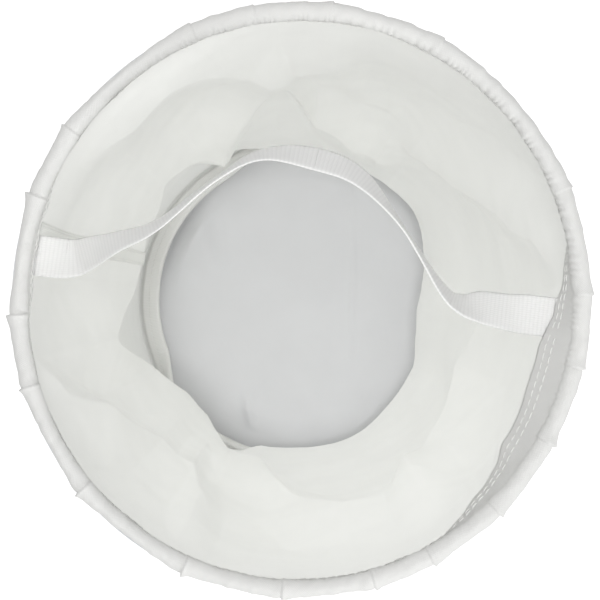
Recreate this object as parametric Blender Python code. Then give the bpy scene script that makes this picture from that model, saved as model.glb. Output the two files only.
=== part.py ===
"""Ring-top mesh bag: a wire hoop in a cloth hem, a mesh wall that slumps in folds,
a flat round bottom with a bound seam, and one webbing handle across the mouth.

Metres, +Z up. The origin lies on the floor under the middle of the ring. The handle's sewn
ends face each other along X, and the wall's side seam is at the left, towards -X.
"""

import math

import bpy
from mathutils import Vector

MM = 0.001

# Driving dimensions
RING_HEIGHT = 380 * MM  # middle of the hoop's wire above the floor
HEM_DIAMETER = 180 * MM  # outside of the hem around the hoop
WIRE_DIAMETER = 4 * MM
CLOTH = 0.6 * MM  # thickness of every cloth layer
CLEARANCE = 0.3 * MM  # between neighbouring layers
FLANGE_DEPTH = 12 * MM  # the hem's two flanges, below the hoop's middle
HEM_STITCH_DEPTH = 9 * MM
BOTTOM_RADIUS = 86.5 * MM
BOTTOM_ALLOWANCE = 8.5 * MM  # both layers past the bottom seam
BOTTOM_LEAN = 30  # degrees, slope of that allowance as it leans inward
BINDING_START = 1.2 * MM  # from the seam's root to the tape's edges
BOTTOM_STITCH_SHARE = 0.6  # of the allowance, from its root
SIDE_TAPE_WIDTH = 7 * MM
SIDE_SEAM_COLUMN = 34.5  # the middle of a wall facet, counted from +X
SIDE_STITCH_SPACING = 4 * MM
SIDE_TAPE_GAP_TO_HEM = 4 * MM
SIDE_TAPE_GAP_TO_FLOOR = 14 * MM
THREAD_DIAMETER = 0.4 * MM
STRAP_WIDTH = 12.7 * MM
STRAP_THICKNESS = 1.2 * MM
STRAP_END_REACH = 11.6 * MM  # a sewn end, from the hoop's middle inward to the free arch
STRAP_RISE = 48.6 * MM  # the arch's crown, from the line through its ends
STRAP_OFFSET = 4 * MM  # the ends sit a little behind the ring's middle
FOLD_DEPTH = 27 * MM  # the wall's deepest fold
HEM_LEAN_DEPTH = 8 * MM  # the flanges' lower edge, where they lean inward most

COLUMNS = 72  # facets around every ring-shaped piece
COLUMN_ANGLE = 360 / COLUMNS
WIRE_SIDES = 8
TURN_STEPS = 3  # facets in a small turn of cloth
HEM_STEPS = 6  # facets in the hem's tube
HEM_OPENING = 50  # degrees below level, where the tube meets its flanges
STRAP_ROWS = 44  # facets along the handle's arch
STRAP_ACROSS = 4  # facets across a sewn end

# Worked out from them
LAYER_PITCH = CLOTH + CLEARANCE
HEM_TUBE_RADIUS = WIRE_DIAMETER / 2 + CLEARANCE + CLOTH / 2
RING_RADIUS = HEM_DIAMETER / 2 - HEM_TUBE_RADIUS - CLOTH / 2
FLANGE_TOP = RING_HEIGHT - HEM_TUBE_RADIUS - LAYER_PITCH
FLANGE_BOTTOM = RING_HEIGHT - FLANGE_DEPTH
STITCH_HEIGHT = RING_HEIGHT - HEM_STITCH_DEPTH
STRAP_BULGE = STRAP_THICKNESS + CLEARANCE
STRAP_HALF_SPAN = RING_RADIUS - STRAP_END_REACH
STRAP_INSET = CLOTH / 2 + CLEARANCE + STRAP_THICKNESS / 2
HINGE_HEIGHT = FLANGE_BOTTOM - 2 * CLEARANCE - STRAP_THICKNESS / 2
TURN_RADIUS = CLOTH + CLEARANCE / 2
THREAD_SEAT = CLOTH / 2 + CLEARANCE + THREAD_DIAMETER / 2
SEAM_SLOPE = math.radians(BOTTOM_LEAN)
ALONG_SEAM = Vector((-math.cos(SEAM_SLOPE), math.sin(SEAM_SLOPE)))
ACROSS_SEAM = Vector((math.sin(SEAM_SLOPE), math.cos(SEAM_SLOPE)))

# The wall's main folds. Each crest runs through (angle in degrees, share of the ring's height,
# share of the deepest fold). It fades out over the given shares above it, up to the hem, and below.
LEFT_OVERHANG = (
    ((104, 0.40, 0), (124, 0.453, 0.44), (131, 0.525, 0.46), (146, 0.565, 0.52),
     (154, 0.52, 0.61), (174, 0.497, 0.68), (181, 0.507, 0.65), (199, 0.64, 0.50),
     (213, 0.413, 0.61), (238, 0.354, 0.70), (253, 0.442, 0.48), (270, 0.42, 0)),
    0.28,
    0.20,
)
RIGHT_FOOT = (
    ((250, 0.12, 0), (262, 0.125, 0.37), (277, 0.13, 0.47), (295, 0.13, 0.52), (316, 0.13, 0.64),
     (336, 0.13, 0.74), (349, 0.13, 0.94), (362, 0.13, 1.0), (373, 0.13, 0.88),
     (385, 0.14, 0.78), (405, 0.16, 0.42), (432, 0.20, 0)),
    0.30,
    0.11,
)
BACK_BAND = (
    ((80, 0.70, 0), (88, 0.80, 0.20), (105, 0.78, 0.28), (129, 0.885, 0.18),
     (141, 0.86, 0.18), (156, 0.90, 0)),
    0.20,
    0.20,
)
BACK_PEAK = (
    ((60, 0.33, 0), (68, 0.379, 0.35), (77, 0.374, 0.42), (92, 0.472, 0.43),
     (102, 0.74, 0.14), (113, 0.613, 0.40), (130, 0.451, 0.29), (142, 0.40, 0)),
    0.15,
    0.18,
)
RIGHT_SHOULDER = (
    ((10, 0.90, 0), (20, 0.87, 0.18), (26, 0.79, 0.31), (44, 0.62, 0.39),
     (60, 0.493, 0.35), (72, 0.42, 0)),
    0.22,
    0.22,
)
FRONT_LEFT_BAND = (
    ((198, 0.95, 0), (207, 0.92, 0.17), (217, 0.774, 0.32), (232, 0.627, 0.32),
     (244, 0.638, 0.35), (250, 0.723, 0.26), (258, 0.78, 0)),
    0.20,
    0.18,
)
FRONT_BAND = (
    ((252, 0.39, 0), (264, 0.436, 0.33), (278, 0.608, 0.32), (289, 0.696, 0.30),
     (311, 0.732, 0.29), (322, 0.80, 0)),
    0.22,
    0.22,
)
FRONT_RIGHT_BAND = (
    ((300, 0.75, 0), (310, 0.679, 0.34), (322, 0.567, 0.41), (344, 0.443, 0.44),
     (359, 0.483, 0.36), (368, 0.47, 0)),
    0.22,
    0.20,
)
FOLDS = (
    LEFT_OVERHANG, RIGHT_FOOT, BACK_BAND, BACK_PEAK,
    RIGHT_SHOULDER, FRONT_LEFT_BAND, FRONT_BAND, FRONT_RIGHT_BAND,
)

# Where the hem's flanges lean inward, as (angle in degrees, share of the most), and the share
# of the ring's height over which the wall below comes back out
HEM_LEAN = ((-64, 0), (-46, 0.3), (-24, 1.0), (-2, 0.75), (12, 0.5), (32, 0))
HEM_LEAN_FADE = 0.20

# Heights of the wall's rows between its bottom turn and the hem, as shares of that stretch
WALL_ROWS = (
    0.03, 0.08, 0.13, 0.19, 0.25, 0.31, 0.37, 0.43, 0.49, 0.55, 0.61, 0.68, 0.75, 0.82, 0.89, 0.95,
)

# The handle's arch: along X from its middle (share of the half span), back and up from the
# hinge line (shares of the rise) and the tilt of the webbing's width, in degrees from level
STRAP_STATIONS = (
    (-1.00, 0, 0, 0),
    (-0.94, 0.01, 0.02, 12),
    (-0.86, 0.075, 0.125, 40),
    (-0.62, 0.265, 0.335, 72),
    (-0.39, 0.585, 0.50, 82),
    (-0.22, 0.765, 0.58, 71),
    (-0.01, 0.78, 0.60, 55),
    (0.18, 0.70, 0.54, 62),
    (0.37, 0.445, 0.395, 82),
    (0.57, 0.095, 0.19, 73),
    (0.66, 0.015, 0.107, 60),
    (0.75, 0.01, 0.045, 38),
    (0.87, 0, 0.005, 24),
    (0.94, 0, 0, 8),
    (1.00, 0, 0, 0),
)


def make_material(name, colour, roughness, metallic=0.0):
    material = bpy.data.materials.new(name)
    material.use_nodes = True
    shader = material.node_tree.nodes["Principled BSDF"]
    shader.inputs["Base Color"].default_value = (*colour, 1.0)
    shader.inputs["Roughness"].default_value = roughness
    shader.inputs["Metallic"].default_value = metallic
    return material


def add_piece(name, data, material, location=(0, 0, 0)):
    data.materials.append(material)
    piece = bpy.data.objects.new(name, data)
    piece.location = location
    bpy.context.scene.collection.objects.link(piece)
    return piece


def add_sheet(name, rows, thickness, material, closed=False, centre=None, location=(0, 0, 0)):
    """A sheet through rows of points, thickened evenly to both sides.

    closed joins each row's last point to its first, and centre closes the first row
    with a fan to that point. Every facet is halved along the diagonal that climbs towards
    the next column, so that neighbouring layers stay parallel where they twist.
    """
    width = len(rows[0])
    points = [point for row in rows for point in row]
    faces = []
    for row in range(len(rows) - 1):
        for column in range(width if closed else width - 1):
            beside = (column + 1) % width
            low = row * width
            high = low + width
            if points[low + column][2] <= points[high + column][2]:
                faces.append((low + column, low + beside, high + beside))
                faces.append((low + column, high + beside, high + column))
            else:
                faces.append((low + column, low + beside, high + column))
                faces.append((low + beside, high + beside, high + column))
    if centre is not None:
        points.append(centre)
        for column in range(width):
            faces.append((len(points) - 1, (column + 1) % width, column))
    mesh = bpy.data.meshes.new(name)
    mesh.from_pydata(points, [], faces)
    mesh.validate()
    mesh.shade_smooth()
    piece = add_piece(name, mesh, material, location)
    skin = piece.modifiers.new("Thickness", "SOLIDIFY")
    skin.thickness = thickness
    skin.offset = 0
    skin.use_even_offset = True
    return piece


def add_thread(name, points, material, closed):
    curve = bpy.data.curves.new(name, "CURVE")
    curve.dimensions = "3D"
    curve.bevel_depth = THREAD_DIAMETER / 2
    curve.bevel_resolution = 0
    curve.use_fill_caps = True
    spline = curve.splines.new("POLY")
    spline.points.add(len(points) - 1)
    for target, point in zip(spline.points, points):
        target.co = (*point, 1.0)
    spline.use_cyclic_u = closed
    return add_piece(name, curve, material)


def turn(centre, radius, start, end, steps):
    """Points of an arc in the (radius, height) plane, angles in degrees."""
    points = []
    for step in range(steps + 1):
        angle = math.radians(start + (end - start) * step / steps)
        points.append(centre + radius * Vector((math.cos(angle), math.sin(angle))))
    return points


def around(radius, height, angle):
    angle = math.radians(angle)
    return Vector((radius * math.cos(angle), radius * math.sin(angle), height))


def along_crest(crest, angle):
    """The crest's values at an angle, eased between its points, or None away from it."""
    for turned in (angle - 360, angle, angle + 360):
        for start, end in zip(crest, crest[1:]):
            if start[0] <= turned <= end[0]:
                share = (turned - start[0]) / (end[0] - start[0])
                share = share * share * (3 - 2 * share)
                return [a + (b - a) * share for a, b in zip(start[1:], end[1:])]
    return None


def fold_depth(fold, angle, height):
    """How far one fold stands inward at an angle and a height."""
    crest, above, below = fold
    found = along_crest(crest, angle)
    if found is None:
        return 0.0
    offset = height / RING_HEIGHT - found[0]
    above = min(above, FLANGE_BOTTOM / RING_HEIGHT - found[0])
    reach = offset / (above if offset > 0 else below)
    return FOLD_DEPTH * found[1] * max(0.0, 1 - reach * reach) ** 2


def hem_lean(angle, height):
    """How far the hem's flanges and the cloth between them lean inward."""
    found = along_crest(HEM_LEAN, angle)
    if found is None:
        return 0.0
    lean = HEM_LEAN_DEPTH * found[0]
    if height > FLANGE_BOTTOM:
        return lean * max(0.0, (FLANGE_TOP - height) / (FLANGE_TOP - FLANGE_BOTTOM))
    fade = (FLANGE_BOTTOM - height) / (HEM_LEAN_FADE * RING_HEIGHT)
    return lean * max(0.0, 1 - fade * fade) ** 2


def seam_root():
    """Where the bottom panel's edge leaves its turn and rises along the seam."""
    middle = Vector((BOTTOM_RADIUS - TURN_RADIUS, CLOTH / 2 + TURN_RADIUS))
    return turn(middle, TURN_RADIUS, 0, 90 - BOTTOM_LEAN, 1)[-1]


def wall_turn():
    """The wall's bottom turn, from the seam allowance to the upright wall."""
    middle = seam_root() + (LAYER_PITCH + TURN_RADIUS) * ACROSS_SEAM
    return turn(middle, TURN_RADIUS, -90 - BOTTOM_LEAN, 0, TURN_STEPS)


def cloth_radius(angle, height):
    """The wall's radius at an angle and a height: a straight line with folds."""
    foot = wall_turn()[-1]
    share = (height - foot.y) / (RING_HEIGHT - foot.y)
    radius = foot.x + (RING_RADIUS - foot.x) * share
    folded = sum(fold_depth(fold, angle, height) for fold in FOLDS)
    return radius - folded - hem_lean(angle, height)


def layer_radius(angle, height, inset):
    """The radius of a layer that lies inside the wall's middle by inset, square to it."""
    low, high = height - CLOTH, height + CLOTH
    if height >= FLANGE_BOTTOM:
        low, high = FLANGE_BOTTOM, FLANGE_TOP
    slope = (cloth_radius(angle, high) - cloth_radius(angle, low)) / (high - low)
    return cloth_radius(angle, height) - inset * math.hypot(1, slope)


def cloth_point(column, height, inset):
    """A point inside the wall by inset, on the flat facet between two columns."""
    low = math.floor(column)
    ends = []
    for whole in (low, low + 1):
        angle = (whole * COLUMN_ANGLE) % 360
        ends.append(around(layer_radius(angle, height, inset), height, angle))
    return ends[0].lerp(ends[1], column - low)


def strap_bulge(angle):
    """How far the inner flange stands off the wall to let a sewn end in."""
    half_width = math.degrees((STRAP_WIDTH / 2 + CLEARANCE) / RING_RADIUS) + COLUMN_ANGLE
    fade = 1.5 * COLUMN_ANGLE
    tilt = math.degrees(math.asin(STRAP_OFFSET / RING_RADIUS))
    for middle in (tilt, 180 - tilt):
        away = abs((angle - middle + 180) % 360 - 180)
        if away < half_width + fade:
            return STRAP_BULGE * min(1.0, (half_width + fade - away) / fade)
    return 0.0


def ring_rows(profile_at):
    """Rows of a ring-shaped sheet from a profile of (radius, height) at each angle."""
    profiles = [profile_at(column * COLUMN_ANGLE) for column in range(COLUMNS)]
    rows = []
    for row in range(len(profiles[0])):
        rows.append([
            around(*profiles[column][row], column * COLUMN_ANGLE) for column in range(COLUMNS)
        ])
    return rows


def make_ring_hoop(material):
    bpy.ops.mesh.primitive_torus_add(
        major_radius=RING_RADIUS,
        minor_radius=WIRE_DIAMETER / 2,
        major_segments=COLUMNS,
        minor_segments=WIRE_SIDES,
        location=(0, 0, RING_HEIGHT),
    )
    hoop = bpy.context.object
    hoop.name = "ring_hoop"
    hoop.data.materials.append(material)
    hoop.data.shade_smooth()


def make_rim_collar(material):
    """The hem: an outer flange, a tube around the hoop and an inner flange."""
    heights = (FLANGE_BOTTOM, STITCH_HEIGHT, FLANGE_TOP)
    middle = Vector((RING_RADIUS, RING_HEIGHT))
    tube = turn(middle, HEM_TUBE_RADIUS, -HEM_OPENING, 180 + HEM_OPENING, HEM_STEPS)

    def profile(angle):
        bulge = strap_bulge(angle)
        outer = [(layer_radius(angle, z, -LAYER_PITCH), z) for z in heights]
        inner = [(layer_radius(angle, z, LAYER_PITCH + bulge), z) for z in heights]
        return outer + [tuple(point) for point in tube] + inner[::-1]

    add_sheet("rim_collar", ring_rows(profile), CLOTH, material, closed=True)


def open_wall_heights():
    """The heights of the wall's rows between its bottom turn and the hem."""
    foot = wall_turn()[-1].y
    return [foot + (FLANGE_BOTTOM - foot) * share for share in WALL_ROWS]


def make_mesh_wall(material):
    """The wall: its seam allowance, its bottom turn, the folded wall and its top edge."""
    foot = wall_turn()
    allowance_end = foot[0] + BOTTOM_ALLOWANCE * ALONG_SEAM
    heights = open_wall_heights() + [FLANGE_BOTTOM, STITCH_HEIGHT, FLANGE_TOP]

    def profile(angle):
        wall = [(cloth_radius(angle, z), z) for z in heights]
        return [tuple(allowance_end)] + [tuple(point) for point in foot] + wall

    add_sheet("mesh_wall", ring_rows(profile), CLOTH, material, closed=True)


def make_side_seam(tape_material, thread_material):
    """The tape over the wall's side seam, on the wall's own facets, and its two threads."""
    inset = LAYER_PITCH + CLEARANCE
    low = SIDE_TAPE_GAP_TO_FLOOR
    high = FLANGE_BOTTOM - SIDE_TAPE_GAP_TO_HEM
    heights = [low] + [z for z in open_wall_heights() if low < z < high] + [high]
    facet = math.radians(COLUMN_ANGLE)

    def columns_for(width, height):
        facet_width = cloth_radius(SIDE_SEAM_COLUMN * COLUMN_ANGLE, height) * facet
        half = width / 2 / facet_width
        return SIDE_SEAM_COLUMN - half, SIDE_SEAM_COLUMN + half

    rows = []
    for height in heights:
        ends = columns_for(SIDE_TAPE_WIDTH, height)
        rows.append([cloth_point(column, height, inset) for column in ends])
    add_sheet("side_seam_tape", rows, CLOTH, tape_material)
    for side, name in enumerate(("side_seam_thread_back", "side_seam_thread_front")):
        points = []
        for height in heights[1:-1]:
            column = columns_for(SIDE_STITCH_SPACING, height)[side]
            points.append(cloth_point(column, height, inset + THREAD_SEAT))
        add_thread(name, points, thread_material, closed=False)


def make_bottom(disc_material, tape_material, thread_material):
    """The bottom panel, the tape over both raw edges and the seam's thread."""
    middle = Vector((BOTTOM_RADIUS - TURN_RADIUS, CLOTH / 2 + TURN_RADIUS))
    edge = turn(middle, TURN_RADIUS, -90, 90 - BOTTOM_LEAN, TURN_STEPS)
    disc_end = edge[-1] + BOTTOM_ALLOWANCE * ALONG_SEAM
    disc = edge + [disc_end]
    add_sheet(
        "bottom_disc",
        ring_rows(lambda angle: [tuple(point) for point in disc]),
        CLOTH,
        disc_material,
        closed=True,
        centre=(0, 0, CLOTH / 2),
    )
    root = seam_root()
    lower = root - LAYER_PITCH * ACROSS_SEAM
    upper = root + 2 * LAYER_PITCH * ACROSS_SEAM
    past_end = BOTTOM_ALLOWANCE + CLEARANCE
    wrap_middle = root + LAYER_PITCH / 2 * ACROSS_SEAM + past_end * ALONG_SEAM
    wrap = turn(wrap_middle, 1.5 * LAYER_PITCH, 270 - BOTTOM_LEAN, 90 - BOTTOM_LEAN, TURN_STEPS)
    tape = [lower + BINDING_START * ALONG_SEAM] + wrap + [upper + BINDING_START * ALONG_SEAM]
    rows = ring_rows(lambda angle: [tuple(point) for point in tape])
    add_sheet("bottom_binding", rows, CLOTH, tape_material, closed=True)
    stitch = upper + BOTTOM_STITCH_SHARE * BOTTOM_ALLOWANCE * ALONG_SEAM
    stitch += THREAD_SEAT * ACROSS_SEAM
    points = [around(*stitch, column * COLUMN_ANGLE) for column in range(COLUMNS)]
    add_thread("bottom_seam_thread", points, thread_material, closed=True)


def make_hem_threads(material):
    """One row of stitching through the hem: a thread inside and a thread outside."""
    flange = LAYER_PITCH + THREAD_SEAT
    inside = []
    outside = []
    for column in range(COLUMNS):
        bulge = strap_bulge(column * COLUMN_ANGLE)
        inside.append(cloth_point(column, STITCH_HEIGHT, flange + bulge))
        outside.append(cloth_point(column, STITCH_HEIGHT, -flange))
    add_thread("hem_needle_thread", inside, material, closed=True)
    add_thread("hem_bobbin_thread", outside, material, closed=True)


def make_handle_end(name, side, material):
    """A sewn end: between wall and flange, then turned inward below the flange."""
    split = side * (STRAP_HALF_SPAN + CLEARANCE)
    drop = FLANGE_BOTTOM - HINGE_HEIGHT
    strips = []
    for step in range(STRAP_ACROSS + 1):
        y = STRAP_OFFSET + STRAP_WIDTH * (step / STRAP_ACROSS - 0.5)
        angle = math.degrees(math.asin(y / RING_RADIUS))
        column = (angle if side > 0 else 180 - angle) / COLUMN_ANGLE
        strip = []
        for height in (FLANGE_TOP - 2 * CLEARANCE, STITCH_HEIGHT, FLANGE_BOTTOM):
            strip.append((cloth_point(column, height, STRAP_INSET).x, y, height))
        middle = Vector((abs(strip[-1][0]) - drop, FLANGE_BOTTOM))
        for corner in turn(middle, drop, 0, -90, TURN_STEPS)[1:]:
            strip.append((side * corner.x, y, corner.y))
        strip.append((split, y, HINGE_HEIGHT))
        strips.append(strip)
    rows = [list(row) for row in zip(*strips)]
    add_sheet(name, rows, STRAP_THICKNESS, material)


def smooth_between(stations, place):
    """A smooth curve through the stations, at a place from 0 to 1 along them."""
    last = len(stations) - 1
    index = min(int(place * last), last - 1)
    share = place * last - index
    before = stations[max(index - 1, 0)]
    start = stations[index]
    end = stations[index + 1]
    after = stations[min(index + 2, last)]
    values = []
    for a, b, c, d in zip(before, start, end, after):
        bend = 2 * a - 5 * b + 4 * c - d
        twist = 3 * (b - c) + d - a
        values.append(b + 0.5 * share * (c - a + share * (bend + share * twist)))
    return values


def make_handle_strap(material):
    """The free arch of webbing, modelled around its hinge line."""
    spine = []
    for row in range(STRAP_ROWS + 1):
        x, back, up, tilt = smooth_between(STRAP_STATIONS, row / STRAP_ROWS)
        point = Vector((x * STRAP_HALF_SPAN, back * STRAP_RISE, up * STRAP_RISE))
        spine.append((point, math.radians(tilt)))
    rows = []
    for row, (point, tilt) in enumerate(spine):
        ahead = spine[min(row + 1, STRAP_ROWS)][0] - spine[max(row - 1, 0)][0]
        level = Vector((-ahead.y, ahead.x, 0)).normalized()
        if row in (0, STRAP_ROWS):
            level = Vector((0, 1, 0))
        half = STRAP_WIDTH / 2 * (math.cos(tilt) * level - math.sin(tilt) * Vector((0, 0, 1)))
        rows.append([point - half, point, point + half])
    hinge = (0, STRAP_OFFSET, HINGE_HEIGHT)
    add_sheet("handle_strap", rows, STRAP_THICKNESS, material, location=hinge)


def main():
    for item in list(bpy.data.objects):
        bpy.data.objects.remove(item, do_unlink=True)
    steel = make_material("steel_wire", (0.62, 0.63, 0.64), 0.3, 1.0)
    hem_cloth = make_material("hem_cloth", (0.86, 0.86, 0.84), 0.75)
    mesh_cloth = make_material("mesh_cloth", (0.80, 0.81, 0.78), 0.7)
    bottom_cloth = make_material("bottom_cloth", (0.74, 0.74, 0.75), 0.7)
    webbing = make_material("webbing", (0.88, 0.88, 0.87), 0.6)
    tape = make_material("seam_tape", (0.82, 0.82, 0.80), 0.7)
    thread = make_material("thread", (0.9, 0.9, 0.88), 0.5)
    make_ring_hoop(steel)
    make_rim_collar(hem_cloth)
    make_mesh_wall(mesh_cloth)
    make_side_seam(tape, thread)
    make_bottom(bottom_cloth, tape, thread)
    make_hem_threads(thread)
    make_handle_end("handle_end_left", -1, webbing)
    make_handle_end("handle_end_right", 1, webbing)
    make_handle_strap(webbing)


main()
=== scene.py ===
"""Looks of the ring-top mesh bag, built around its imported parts.

Metres, +Z up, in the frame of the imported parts: the origin is on the floor under the middle of
the ring, the handle's sewn ends lie along X and the side seam is towards -X.
"""

import math

import bpy
import numpy as np
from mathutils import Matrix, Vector
from mathutils.geometry import delaunay_2d_cdt


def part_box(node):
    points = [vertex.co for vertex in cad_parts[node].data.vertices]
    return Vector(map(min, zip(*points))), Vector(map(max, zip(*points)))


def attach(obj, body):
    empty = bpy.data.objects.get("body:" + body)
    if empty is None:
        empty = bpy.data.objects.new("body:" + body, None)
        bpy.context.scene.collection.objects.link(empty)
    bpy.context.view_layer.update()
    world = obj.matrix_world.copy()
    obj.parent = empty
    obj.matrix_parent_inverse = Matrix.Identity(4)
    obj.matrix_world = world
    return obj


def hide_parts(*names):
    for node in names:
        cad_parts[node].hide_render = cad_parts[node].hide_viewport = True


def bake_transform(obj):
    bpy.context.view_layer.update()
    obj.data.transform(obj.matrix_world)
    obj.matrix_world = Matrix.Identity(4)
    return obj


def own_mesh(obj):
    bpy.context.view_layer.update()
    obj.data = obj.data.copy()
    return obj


MM = 0.001

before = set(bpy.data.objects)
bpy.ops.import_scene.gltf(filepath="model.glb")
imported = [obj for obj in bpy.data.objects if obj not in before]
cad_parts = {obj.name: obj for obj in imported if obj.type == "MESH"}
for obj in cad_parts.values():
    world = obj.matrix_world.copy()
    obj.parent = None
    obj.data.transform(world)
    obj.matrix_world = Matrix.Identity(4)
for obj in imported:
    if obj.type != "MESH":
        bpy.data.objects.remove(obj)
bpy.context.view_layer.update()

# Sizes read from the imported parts
hoop_low, hoop_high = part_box("ring_hoop")
RING_HEIGHT = (hoop_low.z + hoop_high.z) / 2
WIRE_RADIUS = (hoop_high.z - hoop_low.z) / 2
RING_RADIUS = hoop_high.x - WIRE_RADIUS
FLANGE_BOTTOM = round(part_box("rim_collar")[0].z, 3)
BOTTOM_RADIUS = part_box("bottom_disc")[1].x

# Sizes of the layers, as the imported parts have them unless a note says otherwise
LAYER_PITCH = 0.9 * MM
PANEL_LEVEL = 0.3 * MM  # the bottom panel's middle, above the floor
HEM_THICKNESS = 0.4 * MM
BINDING_THICKNESS = 0.5 * MM
SIDE_TAPE_THICKNESS = 0.3 * MM
FLANGE_INSET = 0.5 * MM  # the hem's inner face, drawn close to the wall
HEM_TUBE_RADIUS = 2.6 * MM
HEM_OPENING = 50  # degrees below level, where the tube meets its flanges
FLANGE_TOP = RING_HEIGHT - HEM_TUBE_RADIUS - LAYER_PITCH
HEM_SPLIT = FLANGE_BOTTOM + 0.4 * MM  # above this the wall moves with the hem
STITCH_HEIGHT = RING_HEIGHT - 9 * MM
UPPER_STITCHES = STITCH_HEIGHT + 2.6 * MM
STITCH_LENGTH = 2.3 * MM
STITCH_GAP = 0.7 * MM
BOTTOM_ALLOWANCE = 8.5 * MM
BOTTOM_LEAN = 12  # degrees, where the bound seam is pressed nearly flat
TURN_RADIUS = 0.75 * MM
# The seam's lean in degrees at each angle: nearly flat at the left, along the wall elsewhere
SEAM_LEANS = ((0, 76), (105, 76), (128, BOTTOM_LEAN), (208, BOTTOM_LEAN), (224, 76), (360, 76))
SEAM_SWELL_HEIGHT = 30 * MM  # the wall is let out over this height for a seam that stands
SIDE_SEAM_ANGLE = 172.5
SIDE_SEAM_DRIFT = 0.4  # degrees, to either side
SIDE_TAPE_WIDTH = 7 * MM
SIDE_TAPE_LOW = 14 * MM
SIDE_TAPE_HIGH = FLANGE_BOTTOM - 9 * MM
SIDE_TAPE_INSET = 0.45 * MM
SIDE_STITCH_INSET = 0.65 * MM
SIDE_STITCH_OFFSET = 2.3 * MM  # from the tape's middle
STRAP_WIDTH = 12.7 * MM
STRAP_THICKNESS = 1.2 * MM
STRAP_HALF_SPAN = RING_RADIUS - 11.6 * MM
STRAP_RISE = 48.6 * MM
STRAP_OFFSET = 4 * MM
STRAP_TURN = 1.2 * MM  # inset and radius of its turn up into the hem
STRAP_STEP = 0.22 * MM  # from one cross-section of its mesh to the next
RIB_HEIGHT = 0.14 * MM
SELVEDGE_HEIGHT = 0.10 * MM
HINGE_HEIGHT = FLANGE_BOTTOM - STRAP_TURN
STRAP_ANGLE = math.degrees(math.asin(STRAP_OFFSET / RING_RADIUS))  # of its ends, off the X axis

# The wall's main folds: crest points (angle in degrees, share of the ring's height, share of
# the deepest fold), and the shares of the height over which each fades above and below
FOLD_DEPTH = 27 * MM
FOLDS = (
    (((104, 0.40, 0), (124, 0.453, 0.44), (131, 0.525, 0.46), (146, 0.565, 0.52),
     (154, 0.52, 0.61), (174, 0.497, 0.68), (181, 0.507, 0.65), (199, 0.64, 0.50),
     (213, 0.413, 0.61), (226, 0.375, 0.74), (238, 0.354, 0.71), (253, 0.442, 0.48),
     (270, 0.42, 0)), 0.28, 0.20),
    (((250, 0.12, 0), (262, 0.125, 0.37), (277, 0.13, 0.47), (295, 0.13, 0.52), (316, 0.13, 0.64),
     (336, 0.13, 0.74), (349, 0.13, 0.94), (362, 0.13, 1.0), (373, 0.13, 0.88),
     (385, 0.14, 0.78), (405, 0.155, 0.58), (424, 0.165, 0.60), (444, 0.175, 0.62),
     (462, 0.185, 0.52), (480, 0.20, 0.30), (496, 0.21, 0)), 0.30, 0.11),
    (((80, 0.70, 0), (88, 0.80, 0.20), (105, 0.78, 0.28), (129, 0.885, 0.18),
     (141, 0.86, 0.18), (156, 0.90, 0)), 0.20, 0.20),
    (((60, 0.33, 0), (68, 0.379, 0.35), (77, 0.374, 0.42), (92, 0.472, 0.43),
     (102, 0.74, 0.14), (113, 0.613, 0.40), (130, 0.451, 0.29), (142, 0.40, 0)), 0.15, 0.18),
    (((10, 0.90, 0), (20, 0.87, 0.18), (26, 0.79, 0.31), (44, 0.62, 0.39),
     (60, 0.493, 0.35), (72, 0.42, 0)), 0.22, 0.22),
    (((198, 0.95, 0), (207, 0.92, 0.17), (217, 0.774, 0.32), (232, 0.627, 0.32),
     (244, 0.638, 0.35), (250, 0.723, 0.26), (258, 0.78, 0)), 0.20, 0.18),
    (((252, 0.39, 0), (264, 0.436, 0.33), (278, 0.608, 0.32), (289, 0.696, 0.30),
     (311, 0.732, 0.29), (322, 0.80, 0)), 0.22, 0.22),
    (((300, 0.75, 0), (310, 0.679, 0.34), (322, 0.567, 0.41), (344, 0.443, 0.44),
     (359, 0.483, 0.36), (368, 0.47, 0)), 0.22, 0.20),
)
HEM_LEAN_DEPTH = 8 * MM
HEM_LEAN = (
    (-58, 0), (-53, 0.05), (-47, 0.24), (-41, 0.50), (-34, 0.77), (-28, 0.97), (-23, 1.08),
    (-17, 1.13), (-11, 1.10), (-5, 0.95), (0, 0.75), (5, 0.50), (10, 0.25), (15, 0.08), (20, 0),
)
HEM_LEAN_FADE = 0.20
EASING = 0.4  # how round a crest turns at its points, from 0 to 1
CRISPNESS = 0.75  # how sharp a fold's crest is, from 0 to 1
OVAL = 1.15 * MM  # the hoop is this much wider front to back and narrower side to side

# The wall's facets. Each crease runs through (angle, share of the ring's height, inward depth in
# mm), with flat cloth between it and its neighbours, and a hollow is a single low point.
CREASES = (
    ((141, 0.86, 1.5), (129, 0.885, 1), (105, 0.78, 1.5), (88, 0.80, 1), (84, 0.60, 1)),
    ((120, 0.935, 0.5), (129, 0.885, 1)),
    ((142, 0.40, 0), (130, 0.451, 1), (113, 0.613, 1.5), (102, 0.74, 1), (92, 0.472, 1.5),
     (77, 0.374, 1), (68, 0.379, 1), (60, 0.493, 1.5), (44, 0.62, 1.5), (26, 0.79, 1),
     (20, 0.87, 0.5)),
    ((203, 0.94, 0.5), (207, 0.92, 0.5), (217, 0.774, 1.5), (232, 0.627, 1.5), (244, 0.638, 1.5),
     (250, 0.723, 1)),
    ((232, 0.627, 1.5), (264, 0.436, 1.5), (278, 0.608, 1), (289, 0.696, 1), (311, 0.679, 1)),
    ((311, 0.679, 1), (322, 0.567, 1.5), (344, 0.443, 2), (359, 0.483, 1), (368, 0.30, 1)),
    ((160, 0.91, 1), (166, 0.65, 1), (146, 0.565, 1.5)),
)
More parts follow.
